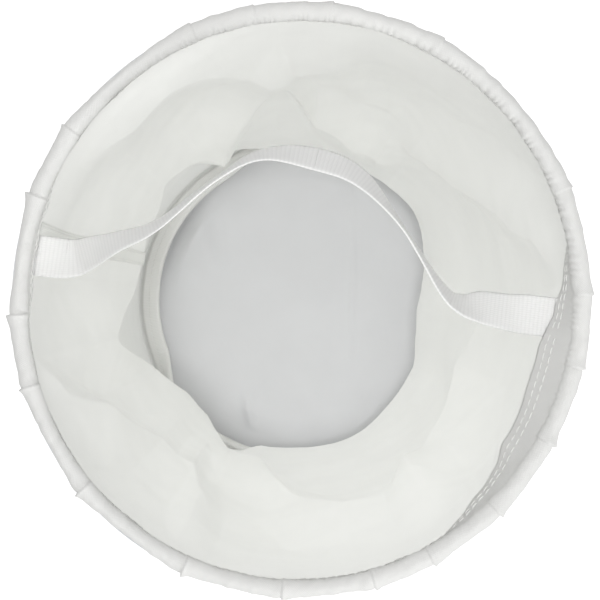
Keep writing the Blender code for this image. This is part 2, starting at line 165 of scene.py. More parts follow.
HOLLOWS = (
    (45, 0.80, -1.5), (68, 0.86, 1), (100, 0.90, -0.5), (75, 0.62, -1.5), (130, 0.68, -1.5),
    (175, 0.85, -1), (185, 0.75, -1.5), (225, 0.86, -1), (245, 0.86, -1), (265, 0.76, -1.5),
    (300, 0.84, -1), (330, 0.72, -1.5), (350, 0.70, -1), (5, 0.62, -1.5), (35, 0.35, -1.5),
    (55, 0.22, -1), (120, 0.25, -1), (165, 0.20, -1), (215, 0.15, -1), (255, 0.20, -1),
    (290, 0.30, -1.5), (320, 0.20, -1),
)
CREASE_SOFTNESS = 2.2 * MM
FACET_START = 12 * MM  # above the floor
FACET_FADE = 14 * MM  # over which the facets end towards the foot and the hem

# Below the left overhang less light is let through the wall: painted shade for the deep shadow
# inside that fold
POCKET_MIDDLE = 193  # degrees
POCKET_HALF_WIDTH = 40  # degrees
POCKET_SIDE_FADE = 5  # degrees
POCKET_TOP = 0.36  # of the ring's height
POCKET_TOP_FADE = 0.06  # of the ring's height
POCKET_SHADE = 0.45  # the share of the wall's let-through light taken away there, as painted shade

# Unevenness of the cloths: the pitch and height of its bumps, and the seed they are drawn from
WALL_WAVES = ((60 * MM, 0.6 * MM, 3), (16 * MM, 0.10 * MM, 4))
TUBE_WAVES = ((7 * MM, 0.10 * MM, 11), (3.2 * MM, 0.05 * MM, 12))
FLANGE_WAVES = ((12 * MM, 0.25 * MM, 14),)
BINDING_WAVES = ((14 * MM, 0.25 * MM, 21), (45 * MM, 0.4 * MM, 22))
BINDING_LIFT = (-0.3 * MM, 1.0 * MM)  # the least and the most of the binding's

# The bottom panel's bulges, pucker and pressed line: the height, the middle's x and y, the half
# width and the half length in mm, and the heading of the length in degrees
BOTTOM_BULGES = (
    (7.0, -66, 26, 10, 22, 72), (4.0, -54, 23, 7, 17, 109), (2.0, -30, 40, 10, 22, 20),
    (3.0, -19, -69, 2.6, 12, 105), (0.5, 28, 5, 1.6, 60, 96),
)

# The hem's pinches: angle, and the height in mm of the lip beside it, which falls off ahead of
# the pinch and dips behind it
PINCH_AHEAD = 1.6 * MM
PINCH_BEHIND = 0.7 * MM
INNER_LIP = 0.35  # the lip's height at the tube's inner side, as a share of that outside
WIDEST_CHORD = 26  # degrees, of the flatter cloth between two pinches
CHORD_SHARE = 0.75  # how far that cloth keeps to its chord
HEM_SLACK = 0.35 * MM  # how much further out the tube's outer side is
GATHER_TURN = 165  # degrees around the tube from its outer side, where it is puckered most
GATHER_SPREAD = 45  # degrees
GATHER_PITCH = 2.8 * MM
GATHER_HEIGHT = 0.20 * MM
PINCHES = (
    (8.0, 0.5), (29.4, 0.5), (68.0, 0.4), (90.4, 0.4), (105.8, 0.4), (118.6, 0.5), (150.4, 0.6),
    (165.5, 1.0), (189.8, 1.0), (204.6, 0.8), (228.0, 0.9), (253.4, 0.9), (273.4, 0.8),
    (291.7, 0.7), (304.0, 0.8), (319.9, 0.9), (337.0, 1.0), (353.1, 0.9),
)

# The cloths' patterns
MESH_PITCH = 0.28 * MM
HEM_PITCH = 0.35 * MM
WEBBING_RIB = 1.3 * MM
TAPE_RIB = 0.9 * MM
MOTTLING = 0.03  # how uneven their whiteness is

# Where the hem differs around the mouth, in degrees
ROUNDEST_HEM = 45  # its pinches leave it roundest here
GATHERED_HEM = 60  # its inner side is puckered most here
BULGE_FADE = 14  # over which the flange comes back to the wall beside a sewn end
STRAP_BULGE = 1.5 * MM

# The handle's arch: along X from its middle (share of the half span), back and up from the
# hinge line (shares of the rise) and the tilt of the webbing's width, in degrees from level
STRAP_STATIONS = (
    (-1.00, 0, 0, 14), (-0.94, 0.015, 0.018, 24), (-0.87, 0.065, 0.10, 38),
    (-0.77, 0.14, 0.225, 57), (-0.61, 0.27, 0.34, 72), (-0.39, 0.585, 0.50, 82),
    (-0.22, 0.765, 0.58, 71),
    (-0.01, 0.78, 0.60, 55), (0.18, 0.70, 0.54, 62), (0.37, 0.445, 0.395, 82),
    (0.57, 0.095, 0.19, 73), (0.66, 0.015, 0.107, 60), (0.75, 0.01, 0.045, 38),
    (0.87, 0, 0.005, 24), (0.94, 0, 0, 8), (1.00, 0, 0, 0),
)


# Shapes of the cloth

def eased(crest, angle):
    """The crest's values at each angle, eased between its points, and where it has any."""
    places = np.array([point[0] for point in crest], float)
    values = np.array([point[1:] for point in crest], float)
    found = np.zeros(angle.shape + (values.shape[1],))
    inside = np.zeros(angle.shape, bool)
    for turned in (angle - 360, angle, angle + 360):
        here = (turned >= places[0]) & (turned <= places[-1])
        index = np.clip(np.searchsorted(places, turned, side="right") - 1, 0, len(places) - 2)
        share = (turned - places[index]) / (places[index + 1] - places[index])
        share = np.clip(share, 0, 1)
        share = (EASING * share * share * (3 - 2 * share) + (1 - EASING) * share)[..., None]
        value = values[index] * (1 - share) + values[index + 1] * share
        found = np.where(here[..., None], value, found)
        inside |= here
    return found, inside


def fold_depth(fold, angle, height):
    """How far one main fold leans in."""
    crest, above, below = fold
    found, inside = eased(crest, angle)
    offset = height / RING_HEIGHT - found[..., 0]
    headroom = FLANGE_BOTTOM / RING_HEIGHT - found[..., 0]
    reach = offset / np.where(offset > 0, np.clip(headroom, 0.01, above), below)
    smooth = np.maximum(0, 1 - reach ** 2) ** 2
    crisp = np.maximum(0, 1 - np.abs(reach)) ** 1.25
    profile = CRISPNESS * crisp + (1 - CRISPNESS) * smooth
    return np.where(inside, FOLD_DEPTH * found[..., 1] * profile, 0)


def hem_lean(angle, height):
    """How far the hem and the wall below it lean in at the right."""
    found, inside = eased(HEM_LEAN, angle)
    lean = np.where(inside, HEM_LEAN_DEPTH * found[..., 0], 0)
    rising = np.clip((FLANGE_TOP - height) / (FLANGE_TOP - FLANGE_BOTTOM), 0, 1)
    fade = (FLANGE_BOTTOM - height) / (HEM_LEAN_FADE * RING_HEIGHT)
    falling = np.maximum(0, 1 - fade ** 2) ** 2
    return lean * np.where(height > FLANGE_BOTTOM, rising, falling)


def arc(centre, radius, start, end, steps):
    """Points of an arc in the (radius, height) plane, angles in degrees."""
    angles = np.radians(np.linspace(start, end, steps + 1))
    return centre + radius * np.stack((np.cos(angles), np.sin(angles)), -1)


def around(radius, height, angle):
    """Points at a radius, a height and an angle in degrees around the bag's axis."""
    radius, height, turned = np.broadcast_arrays(radius, height, np.radians(angle))
    return np.stack((radius * np.cos(turned), radius * np.sin(turned), height), -1)


BINDING_EDGE = BOTTOM_RADIUS - BOTTOM_ALLOWANCE - 3.0 * MM
EDGE_MIDDLE = np.array((BOTTOM_RADIUS - PANEL_LEVEL - TURN_RADIUS, PANEL_LEVEL + TURN_RADIUS))


def seam_profile(lean):
    """The bound seam's directions, the panel's turned edge and the wall's foot at one lean."""
    slope = math.radians(lean)
    along = np.array((-math.cos(slope), math.sin(slope)))
    across = np.array((math.sin(slope), math.cos(slope)))
    edge = arc(EDGE_MIDDLE, TURN_RADIUS, -90, 90 - lean, 5)[1:]
    foot_middle = edge[-1] + (LAYER_PITCH + TURN_RADIUS) * across
    foot = arc(foot_middle, TURN_RADIUS, -90 - lean, 0, 6)
    return lean, along, across, edge, foot


def seam_lean(angle):
    """The bound seam's lean at each angle."""
    places, leans = zip(*SEAM_LEANS)
    return np.interp(np.asarray(angle) % 360, places, leans)


def seam_rows(angle, build):
    """Rows around the bottom's seam, where each column has the profile of its own lean."""
    lines = np.stack([build(*seam_profile(lean)) for lean in seam_lean(angle)], 1)
    return around(lines[..., 0], lines[..., 1], angle), lines


FOOT_RADIUS, FOOT_HEIGHT = seam_profile(BOTTOM_LEAN)[-1][-1]


def seam_swell(angle, height):
    """How far the wall stands out where the seam stands up along it."""
    standing = np.sin(np.radians(seam_lean(angle))) - math.sin(math.radians(BOTTOM_LEAN))
    fade = np.clip(1 - (height - FOOT_HEIGHT) / SEAM_SWELL_HEIGHT, 0, 1) ** 2
    return (2 * TURN_RADIUS + LAYER_PITCH) * standing * fade


def ring_angles(count):
    """Even angles around the bag, in degrees."""
    return np.arange(count) * 360 / count


def degrees_from(angle, middle):
    """How far each angle is from middle, either way round."""
    return np.abs((angle - middle + 180) % 360 - 180)


def oval(angle):
    """How far the hoop stands out from a true circle."""
    return -OVAL * np.cos(np.radians(2 * angle))


def cloth_radius(angle, height):
    """The wall's radius at each angle and height: a straight line with its main folds."""
    share = (height - FOOT_HEIGHT) / (RING_HEIGHT - FOOT_HEIGHT)
    radius = FOOT_RADIUS + (RING_RADIUS - FOOT_RADIUS) * share
    radius = radius + oval(angle) * np.clip(share, 0, 1) ** 2
    folded = sum(fold_depth(fold, angle, height) for fold in FOLDS)
    return radius - folded - hem_lean(angle, height) + seam_swell(angle, height)


def layer_radius(angle, height, inset):
    """The radius of a layer that lies inside the wall by inset, square to it."""
    low = np.where(height >= FLANGE_BOTTOM, FLANGE_BOTTOM, height - MM)
    high = np.where(height >= FLANGE_BOTTOM, FLANGE_TOP, height + MM)
    slope = (cloth_radius(angle, high) - cloth_radius(angle, low)) / (high - low)
    return cloth_radius(angle, height) - inset * np.hypot(1, slope)


def ripple(points, pitch, seed):
    """Smooth unevenness of about one over points, with bumps about a pitch apart."""
    waves = 28
    draw = np.random.RandomState(seed)
    total = np.zeros(points.shape[:-1])
    for _ in range(waves):
        direction = draw.normal(size=3)
        direction *= 2 * math.pi / (pitch * draw.uniform(0.7, 1.8)) / np.linalg.norm(direction)
        total += np.cos(points @ direction + draw.uniform(0, 2 * math.pi))
    return total * math.sqrt(2 / waves)


def run_along(line):
    """The distance along a line at each of its points."""
    steps = np.linalg.norm(np.diff(line, axis=0), axis=1)
    return np.concatenate(([0], np.cumsum(steps)))


def points_at(places, run, line):
    """The line's points at distances along it, with its own points at the distances in run."""
    return np.stack([np.interp(places, run, line[:, k]) for k in range(3)], -1)


def unevenness(points, waves):
    """The sum of ripples that are each given by their pitch, height and seed."""
    return sum(ripple(points, pitch, seed) * height for pitch, height, seed in waves)


def soften(values, sigma, axis, wrap):
    """Gaussian smoothing along one axis, sigma in cells."""
    reach = max(1, int(3 * sigma))
    weights = np.exp(-0.5 * (np.arange(-reach, reach + 1) / sigma) ** 2)
    weights /= weights.sum()
    width = [(0, 0), (0, 0)]
    width[axis] = (reach, reach)
    padded = np.pad(values, width, mode="wrap" if wrap else "edge")
    length = values.shape[axis]
    parts = [np.take(padded, range(k, k + length), axis) * w for k, w in enumerate(weights)]
    return sum(parts)


def facet_depth(angles, heights):
    """The depth of the wall's flat facets between its creases, on a grid of rows and columns."""
    scale = math.radians(1) * (RING_RADIUS + BOTTOM_RADIUS) / 2
    spots, links = [], []
    ends = (0.0, FLANGE_BOTTOM / RING_HEIGHT)
    borders = tuple((a, share, 0) for a in range(0, 360, 15) for share in ends)
    for turned in (-360, 0, 360):
        for crease in CREASES:
            links += [(len(spots) + k, len(spots) + k + 1) for k in range(len(crease) - 1)]
            spots += [(a + turned, share, depth) for a, share, depth in crease]
        spots += [(a + turned, share, depth) for a, share, depth in HOLLOWS + borders]
    flat = [Vector((a * scale, share * RING_HEIGHT)) for a, share, depth in spots]
    verts, _, faces, *_ = delaunay_2d_cdt(flat, links, [], 0, 1e-5)
    depth_of = []
    for vert in verts:
        near = min(range(len(flat)), key=lambda k: (flat[k] - vert).length)
        depth_of.append(spots[near][2])
    across = angles * scale
    depth = np.zeros((len(heights), len(angles)))
    for face in faces:
        corner = [np.array(verts[k]) for k in face]
        low, high = np.min(corner, 0), np.max(corner, 0)
        rows = np.where((heights >= low[1]) & (heights <= high[1]))[0]
        columns = np.where((across >= low[0]) & (across <= high[0]))[0]
        x, y = np.meshgrid(across[columns], heights[rows])
        (ax, ay), (bx, by), (cx, cy) = corner
        area = (by - cy) * (ax - cx) + (cx - bx) * (ay - cy)
        if abs(area) < 1e-12:
            continue
        first = ((by - cy) * (x - cx) + (cx - bx) * (y - cy)) / area
        second = ((cy - ay) * (x - cx) + (ax - cx) * (y - cy)) / area
        third = 1 - first - second
        inside = np.minimum(np.minimum(first, second), third) >= -1e-9
        a, b, c = (depth_of[k] for k in face)
        cells = np.ix_(rows, columns)
        depth[cells] = np.where(inside, a * first + b * second + c * third, depth[cells])
    return depth * MM


# Pieces

def add_piece(name, points, faces, material):
    """A smooth-shaded mesh as an object of its own."""
    mesh = bpy.data.meshes.new(name)
    mesh.from_pydata(points, [], faces)
    mesh.shade_smooth()
    mesh.materials.append(material)
    piece = bpy.data.objects.new(name, mesh)
    bpy.context.scene.collection.objects.link(piece)
    return piece


def add_grid(name, points, weave, material, closed=False, thickness=0.0, caps=(False, False)):
    """A sheet through a grid of points, with its weave coordinates in metres as its UV map.

    closed joins each row's end to its start, and then weave has one column more than points.
    caps says whether a face closes the first and the last row.
    """
    rows, columns = points.shape[:2]
    spans = columns if closed else columns - 1
    row, column = np.meshgrid(np.arange(rows - 1), np.arange(spans), indexing="ij")
    beside = (column + 1) % columns
    quads = np.stack((row * columns + column, row * columns + beside,
                      (row + 1) * columns + beside, (row + 1) * columns + column), -1)
    faces = quads.reshape(-1, 4).tolist()
    corners = np.stack((weave[row, column], weave[row, column + 1],
                        weave[row + 1, column + 1], weave[row + 1, column]), 2).reshape(-1, 2)
    if caps[0]:
        faces.append(list(range(columns))[::-1])
        corners = np.concatenate((corners, weave[0, :columns][::-1]))
    if caps[1]:
        faces.append(list(range((rows - 1) * columns, rows * columns)))
        corners = np.concatenate((corners, weave[-1, :columns]))
    piece = add_piece(name, points.reshape(-1, 3).tolist(), faces, material)
    layer = piece.data.uv_layers.new(name="weave")
    layer.data.foreach_set("uv", corners.astype(np.float32).ravel())
    if thickness:
        skin = piece.modifiers.new("Thickness", "SOLIDIFY")
        skin.thickness = thickness
        skin.offset = 0
        piece = apply_modifiers(piece)
    return piece


def ring_weave(angle, run, radius):
    """Weave coordinates of a ring-shaped grid: around it, and along its rows."""
    whole = np.radians(np.append(angle, 360)) * radius
    return np.stack(np.broadcast_arrays(whole, np.asarray(run)[:, None]), -1)


def apply_modifiers(piece):
    """Gives the piece the mesh that its modifiers make."""
    bpy.context.view_layer.update()
    graph = bpy.context.evaluated_depsgraph_get()
    mesh = bpy.data.meshes.new_from_object(piece.evaluated_get(graph), depsgraph=graph)
    piece.modifiers.clear()
    old = piece.data
    piece.data = mesh
    bpy.data.meshes.remove(old)
    mesh.name = piece.name
    return piece


def add_stitches(name, path, out, material, radius=0.2 * MM):
    """Single stitches along a path: short threads that dip into the cloth at both ends."""
    run = run_along(path)
    shares = np.linspace(0, 1, 6)
    sides = 6
    turned = np.radians(ring_angles(sides))[:, None]
    points, faces = [], []
    for start in np.arange(STITCH_GAP, run[-1] - STITCH_LENGTH, STITCH_LENGTH + STITCH_GAP):
        places = start + shares * STITCH_LENGTH
        line, away = points_at(places, run, path), points_at(places, run, out)
        away /= np.linalg.norm(away, axis=1)[:, None]
        ahead = line[-1] - line[0]
        beside = np.cross(ahead / np.linalg.norm(ahead), away)
        rise = np.sin(shares * math.pi) ** 0.5 * 1.2 * radius - 0.6 * radius
        centres = line + away * rise[:, None]
        for centre, up, right in zip(centres, away, beside):
            points += (centre + radius * (np.cos(turned) * up + np.sin(turned) * right)).tolist()
        base = len(points) - len(shares) * sides
        for ring in range(base, len(points) - sides, sides):
            for side in range(sides):
                a, b = ring + side, ring + (side + 1) % sides
                faces.append((a, b, b + sides, a + sides))
        faces.append(range(base + sides - 1, base - 1, -1))
        faces.append(range(len(points) - sides, len(points)))
    return add_piece(name, points, [tuple(face) for face in faces], material)


# Materials

def add_node(tree, kind, inputs=(), **settings):
    """A shader node with its settings, its inputs set to values or linked to sockets."""
    node = tree.nodes.new(kind)
    for name, value in settings.items():
        setattr(node, name, value)
    for key, value in dict(inputs).items():
        if isinstance(value, bpy.types.NodeSocket):
            tree.links.new(value, node.inputs[key])
        else:
            node.inputs[key].default_value = value
    return node


def maths(tree, operation, first, second=None):
    """The result of one operation on sockets or numbers."""
    inputs = {0: first} if second is None else {0: first, 1: second}
    return add_node(tree, "ShaderNodeMath", inputs, operation=operation).outputs[0]


def wave(tree, place, pitch):
    """A wave of one along a coordinate in metres."""
    return maths(tree, "SINE", maths(tree, "MULTIPLY", place, 2 * math.pi / pitch))


def mix_shaders(tree, share, first, second):
    """A mix of two shaders that has a share of the second."""
    inputs = {0: share, 1: first.outputs[0], 2: second.outputs[0]}
    return add_node(tree, "ShaderNodeMixShader", inputs)


def empty_material(name):
    """A material without nodes, and its node tree."""
    material = bpy.data.materials.new(name)
    material.use_nodes = True
    material.node_tree.nodes.clear()
    return material, material.node_tree


def cloth_material(name, colour, pattern, relief, roughness, sheen, through,
                   open_share=0.0, painted_shade=None):
    """A cloth: its pattern's relief, with painted shade in the pattern's hollows, uneven whiteness,
    and light that comes through.

    pattern makes the relief's height, from about -1 to 1, out of the two weave coordinates.
    The last argument names the mesh's attribute that says where less light is let through the
    cloth, as painted shade.
    """
    material, tree = empty_material(name)
    weave = add_node(tree, "ShaderNodeUVMap", uv_map="weave")
    parts = add_node(tree, "ShaderNodeSeparateXYZ", {0: weave.outputs[0]})
    height = pattern(tree, parts.outputs[0], parts.outputs[1])
    place = add_node(tree, "ShaderNodeTexCoord").outputs["Object"]
    cloudy = add_node(tree, "ShaderNodeTexNoise", {"Vector": place, "Scale": 45, "Detail": 3})
    uneven = maths(tree, "MULTIPLY", maths(tree, "SUBTRACT", cloudy.outputs[0], 0.5), 2 * MOTTLING)
    # Painted shade: the colour is darker in the pattern's hollows and lighter on its crests; the
    # mottling is uneven whiteness
    weave_shade_and_mottling = maths(tree, "ADD", maths(tree, "MULTIPLY", height, 0.03), uneven)
    weave_shade_and_mottling = maths(tree, "ADD", weave_shade_and_mottling, 0.97)
    tint = add_node(tree, "ShaderNodeMix", {0: 1, 6: (*colour, 1), 7: weave_shade_and_mottling},
                    data_type="RGBA", blend_type="MULTIPLY").outputs[2]
    bump = add_node(tree, "ShaderNodeBump", {"Height": height, "Strength": 0.6, "Distance": relief})
    surface = add_node(tree, "ShaderNodeBsdfPrincipled", {
        "Base Color": tint, "Normal": bump.outputs[0], "Roughness": roughness,
        "Sheen Weight": sheen, "Specular IOR Level": 0.3})
    glow = add_node(tree, "ShaderNodeBsdfTranslucent", {"Color": tint})
    # Painted shade: less light is let through where the mesh's attribute says
    if painted_shade:
        painted_shade_node = add_node(tree, "ShaderNodeAttribute", attribute_name=painted_shade)
        unshaded_share = maths(tree, "SUBTRACT", 1.0, painted_shade_node.outputs["Fac"])
        through = maths(tree, "MULTIPLY", unshaded_share, through)
    last = mix_shaders(tree, through, surface, glow)
    if open_share:
        last = mix_shaders(tree, open_share, last, add_node(tree, "ShaderNodeBsdfTransparent"))
    add_node(tree, "ShaderNodeOutputMaterial", {"Surface": last.outputs[0]})
    return material


def plain_weave(pitch):
    """Threads a pitch apart that cross over and under."""
    def pattern(tree, across, along):
        return maths(tree, "MULTIPLY", wave(tree, across, 2 * pitch), wave(tree, along, 2 * pitch))
    return pattern


def ribs(pitch, yarn):
    """Ribs across the tape, with the yarns that run along it."""
    def pattern(tree, across, along):
        rib = maths(tree, "ABSOLUTE", wave(tree, along, 2 * pitch))
        rib = maths(tree, "MULTIPLY", maths(tree, "SUBTRACT", rib, 0.5), 1.6)
        fine = maths(tree, "MULTIPLY", wave(tree, across, yarn), 0.35)
        return maths(tree, "ADD", rib, fine)
    return pattern


def steel_material():
    """Drawn steel wire."""
    material, tree = empty_material("steel_wire")
    place = add_node(tree, "ShaderNodeTexCoord").outputs["Object"]
    drawn = add_node(tree, "ShaderNodeTexNoise", {"Vector": place, "Scale": 900})
    rough = maths(tree, "ADD", maths(tree, "MULTIPLY", drawn.outputs[0], 0.2), 0.22)
    surface = add_node(tree, "ShaderNodeBsdfPrincipled", {
        "Base Color": (0.62, 0.63, 0.64, 1), "Metallic": 1, "Roughness": rough})
    add_node(tree, "ShaderNodeOutputMaterial", {"Surface": surface.outputs[0]})
    return material


def thread_material():
    """Twisted sewing thread."""
    def pattern(tree, across, along):
        return wave(tree, along, 0.5 * MM)
    return cloth_material("thread", (0.93, 0.93, 0.91), pattern, relief=0.03 * MM,
                          roughness=0.6, sheen=0.2, through=0.15)


# The bag

def make_wall(material):
    """The wall, with its top edge between the hem's two faces as a strip of its own."""
    columns, rows, hem_rows = 540, 252, 9
    angle = ring_angles(columns)
    heights = np.concatenate((np.linspace(FOOT_HEIGHT, HEM_SPLIT, rows),
                              np.linspace(HEM_SPLIT, FLANGE_TOP, hem_rows + 1)[1:]))
    angles, levels = np.meshgrid(angle, heights)
    facets = facet_depth(angle, heights)
    cell = 2 * math.pi * RING_RADIUS / columns
    facets = soften(facets, CREASE_SOFTNESS / cell, 1, True)
    facets = soften(facets, CREASE_SOFTNESS / (heights[1] - heights[0]), 0, False)
    margin = np.minimum(levels - FACET_START, FLANGE_BOTTOM - levels)
    free = np.clip(margin / FACET_FADE, 0, 1)
    wavy = unevenness(around(RING_RADIUS, levels, angles), WALL_WAVES)
    radius = cloth_radius(angles, levels) - free * (facets + wavy)
    wall = around(radius, levels, angles)

    def foot_line(lean, along, across, edge, foot):
        return np.concatenate(([foot[0] + BOTTOM_ALLOWANCE * along], foot[:-1]))

    lower, _ = seam_rows(angle, foot_line)
    points = np.concatenate((lower, wall))
    run = np.concatenate((np.linspace(-0.01, -0.001, len(lower)), heights))
    weave = ring_weave(angle, run, RING_RADIUS)
    free_rows = len(lower) + rows
    strip = add_grid("wall_in_hem", points[free_rows - 1:], weave[free_rows - 1:], material,
                     closed=True)
    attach(strip, "rim")
    piece = add_grid("wall_cloth", points[:free_rows], weave[:free_rows], material, closed=True)
    # Painted shade below the left overhang: a share of the light let through the wall is taken away
    # there
    below = np.clip((POCKET_TOP - levels / RING_HEIGHT) / POCKET_TOP_FADE, 0, 1)
    within = POCKET_HALF_WIDTH - degrees_from(angles, POCKET_MIDDLE)
    within = np.clip(within / POCKET_SIDE_FADE, 0, 1)
    painted_shade = np.concatenate((np.zeros_like(lower[..., 0]), POCKET_SHADE * below * within))
    layer = piece.data.attributes.new("painted_shade", "FLOAT", "POINT")
    layer.data.foreach_set("value", painted_shade[:free_rows].astype(np.float32).ravel())
    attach(piece, "base")
    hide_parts("mesh_wall")
    return piece, strip, radius, angle, heights


def pinch_lip(angle):
    """How far the hem's cloth stands out beside its pinches, and the chords between them."""
    lip = np.zeros_like(angle)
    places = np.array([place for place, _ in PINCHES])
    for place, height in PINCHES:
        away = (angle - place + 180) % 360 - 180
        arc_length = np.radians(away) * RING_RADIUS
        ahead = np.where(arc_length >= 0, np.exp(-arc_length / PINCH_AHEAD), 0)
        behind = np.where(arc_length < 0, -0.5 * np.exp(arc_length / PINCH_BEHIND), 0)
        lip += height * MM * (ahead + behind)
    before = places[np.searchsorted(places, angle % 360, side="right") - 1]
    after = places[np.searchsorted(places, angle % 360, side="right") % len(places)]
    gap = (after - before) % 360
    share = ((angle - before) % 360) / gap
    half = np.radians(np.minimum(gap, WIDEST_CHORD)) / 2
    sag = RING_RADIUS * (1 - np.cos(half)) * (1 - (2 * share - 1) ** 2)
    return lip, sag


def strap_bulge(angle):
    """How far the hem's inner flange stands off the wall over the handle's sewn ends."""
    half_width = math.degrees((STRAP_WIDTH / 2 + 0.3 * MM) / RING_RADIUS) + 2
    bulge = np.zeros_like(angle)
    for middle in (STRAP_ANGLE, 180 - STRAP_ANGLE):
        share = (half_width + BULGE_FADE - degrees_from(angle, middle)) / BULGE_FADE
        share = np.clip(share, 0, 1)
        bulge = np.maximum(bulge, STRAP_BULGE * share * share * (3 - 2 * share))
    return bulge


def hang_inner_face(points, first, angle, bulge):
    """Draws the hem's inner face straight, from the tube's inmost side to its lower edge."""
    end = layer_radius(angle, FLANGE_BOTTOM, FLANGE_INSET + bulge)
    start = RING_RADIUS + oval(angle) - HEM_TUBE_RADIUS
    for row in points[first:]:
        radius, height = np.hypot(row[:, 0], row[:, 1]), row[:, 2]
        share = np.clip((RING_HEIGHT - height) / (RING_HEIGHT - FLANGE_BOTTOM), 0, 1)
        line = start + (end - start) * share
        drawn = np.where((share > 0) & (share < 1), np.minimum(radius, line), radius)
        row[:, :2] *= (drawn / radius)[:, None]


def hem_profile(angle, heights, turns, bulge):
    """The hem's rows: up its outer face, round the hoop's tube and down its inner face."""
    lip, sag = pinch_lip(angle)
    flatness = np.interp(degrees_from(angle, ROUNDEST_HEM), (0, 70, 100), (0.35, 0.6, 1.0))
    level = heights[:, None]
    outer = around(layer_radius(angle, level, -LAYER_PITCH), level, angle)
    inner = around(layer_radius(angle, level, FLANGE_INSET + bulge), level, angle)
    turn = np.radians(turns)[:, None]
    outward = np.maximum(0, np.cos(turn))
    upward = np.maximum(0, np.sin(turn)) ** 1.5
    swell = lip * (INNER_LIP + (1 - INNER_LIP) * np.maximum(outward, upward))
    swell = swell - sag * flatness * CHORD_SHARE * outward
    size = HEM_TUBE_RADIUS + HEM_SLACK * outward + swell
    radius = RING_RADIUS + oval(angle) + size * np.cos(turn)
    tube = around(radius, RING_HEIGHT + size * np.sin(turn), angle)
    return np.concatenate((outer, tube, inner[::-1]))


def pucker_tube(points, tube, centre, angle, turns):
    """Roughens the hem's tube, with gathers on its inner side."""
    out = points - centre
    out /= np.linalg.norm(out, axis=2)[..., None]
    stretched = points * (1, 1, 0.35)
    fine = unevenness(stretched, TUBE_WAVES)
    puckered = np.interp(degrees_from(angle, GATHERED_HEM), (0, 60, 85), (1, 1, 0.25))
    inner = np.exp(-((turns - GATHER_TURN) / GATHER_SPREAD) ** 2)[:, None]
    scallop = np.sin(np.radians(angle) * RING_RADIUS * 2 * math.pi / GATHER_PITCH
                     + 3.0 * ripple(centre, 9 * MM, 13)) * GATHER_HEIGHT
    points[tube] += out[tube] * (fine[tube] + inner * puckered * scallop)[..., None]


def make_collar(material):
    """The hem round the hoop. Returns the rows of its inner and its outer face."""
    face_rows, tube_rows = 12, 34
    angle = ring_angles(1440)
    bulge = strap_bulge(angle)
    heights = np.linspace(FLANGE_BOTTOM, FLANGE_TOP, face_rows)
    turns = np.linspace(-HEM_OPENING, 180 + HEM_OPENING, tube_rows)
    points = hem_profile(angle, heights, turns, bulge)
    tube = slice(face_rows, face_rows + tube_rows)
    flange = slice(face_rows + tube_rows, len(points))
    hang_inner_face(points, face_rows + tube_rows // 2, angle, bulge)
    centre = around(RING_RADIUS + oval(angle), RING_HEIGHT, angle)
    pucker_tube(points, tube, centre, angle, turns)
    to_edge = np.linspace(0, 1, face_rows)[:, None]
    points[flange] -= around(unevenness(centre, FLANGE_WAVES) * to_edge, 0, angle)
    weave = ring_weave(angle, run_along(points[:, 0]), RING_RADIUS)
    piece = add_grid("collar_cloth", points, weave, material, closed=True,
                     thickness=HEM_THICKNESS)
    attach(piece, "rim")
    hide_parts("rim_collar")
    return points[flange][::-1], points[:face_rows]


def make_hoop(material):
    """The oval wire inside the hem."""
    sides = 16
    angle = ring_angles(360)
    turn = np.linspace(0, 2 * math.pi, sides + 1)[:, None]
    radius = RING_RADIUS + oval(angle) + WIRE_RADIUS * np.cos(turn)
    points = around(radius, RING_HEIGHT + WIRE_RADIUS * np.sin(turn), angle)
    weave = ring_weave(angle, np.arange(sides + 1) * MM, RING_RADIUS)
    piece = add_grid("hoop_wire", points, weave, material, closed=True)
    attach(piece, "rim")
    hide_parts("ring_hoop")


def on_flange(rows, height, lift):
    """A line around the hem's inner or outer face at a height, lifted outwards by lift."""
    place = (height - FLANGE_BOTTOM) / (FLANGE_TOP - FLANGE_BOTTOM) * (len(rows) - 1)
    low = int(place)
    line = rows[low] + (rows[low + 1] - rows[low]) * (place - low)
    radius = np.hypot(line[:, 0], line[:, 1])
    line[:, :2] *= (1 + lift / radius)[:, None]
    return np.concatenate((line, line[:1]))


def make_hem_stitches(inner_face, outer_face, material):
    """Two rows of stitches on the hem's inner face and one on its outer face."""
    parts = (("hem_stitches_inner", inner_face, STITCH_HEIGHT, -1, "hem_needle_thread"),
             ("hem_stitches_inner_second", inner_face, UPPER_STITCHES, -1, "hem_needle_thread"),
             ("hem_stitches_outer", outer_face, STITCH_HEIGHT, 1, "hem_bobbin_thread"))
    for name, face, height, side, node in parts:
        line = on_flange(face, height, side * 0.22 * MM)
        away = line * (side, side, 0)
        piece = add_stitches(name, line, away, material)
        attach(piece, "rim")
        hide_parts(node)


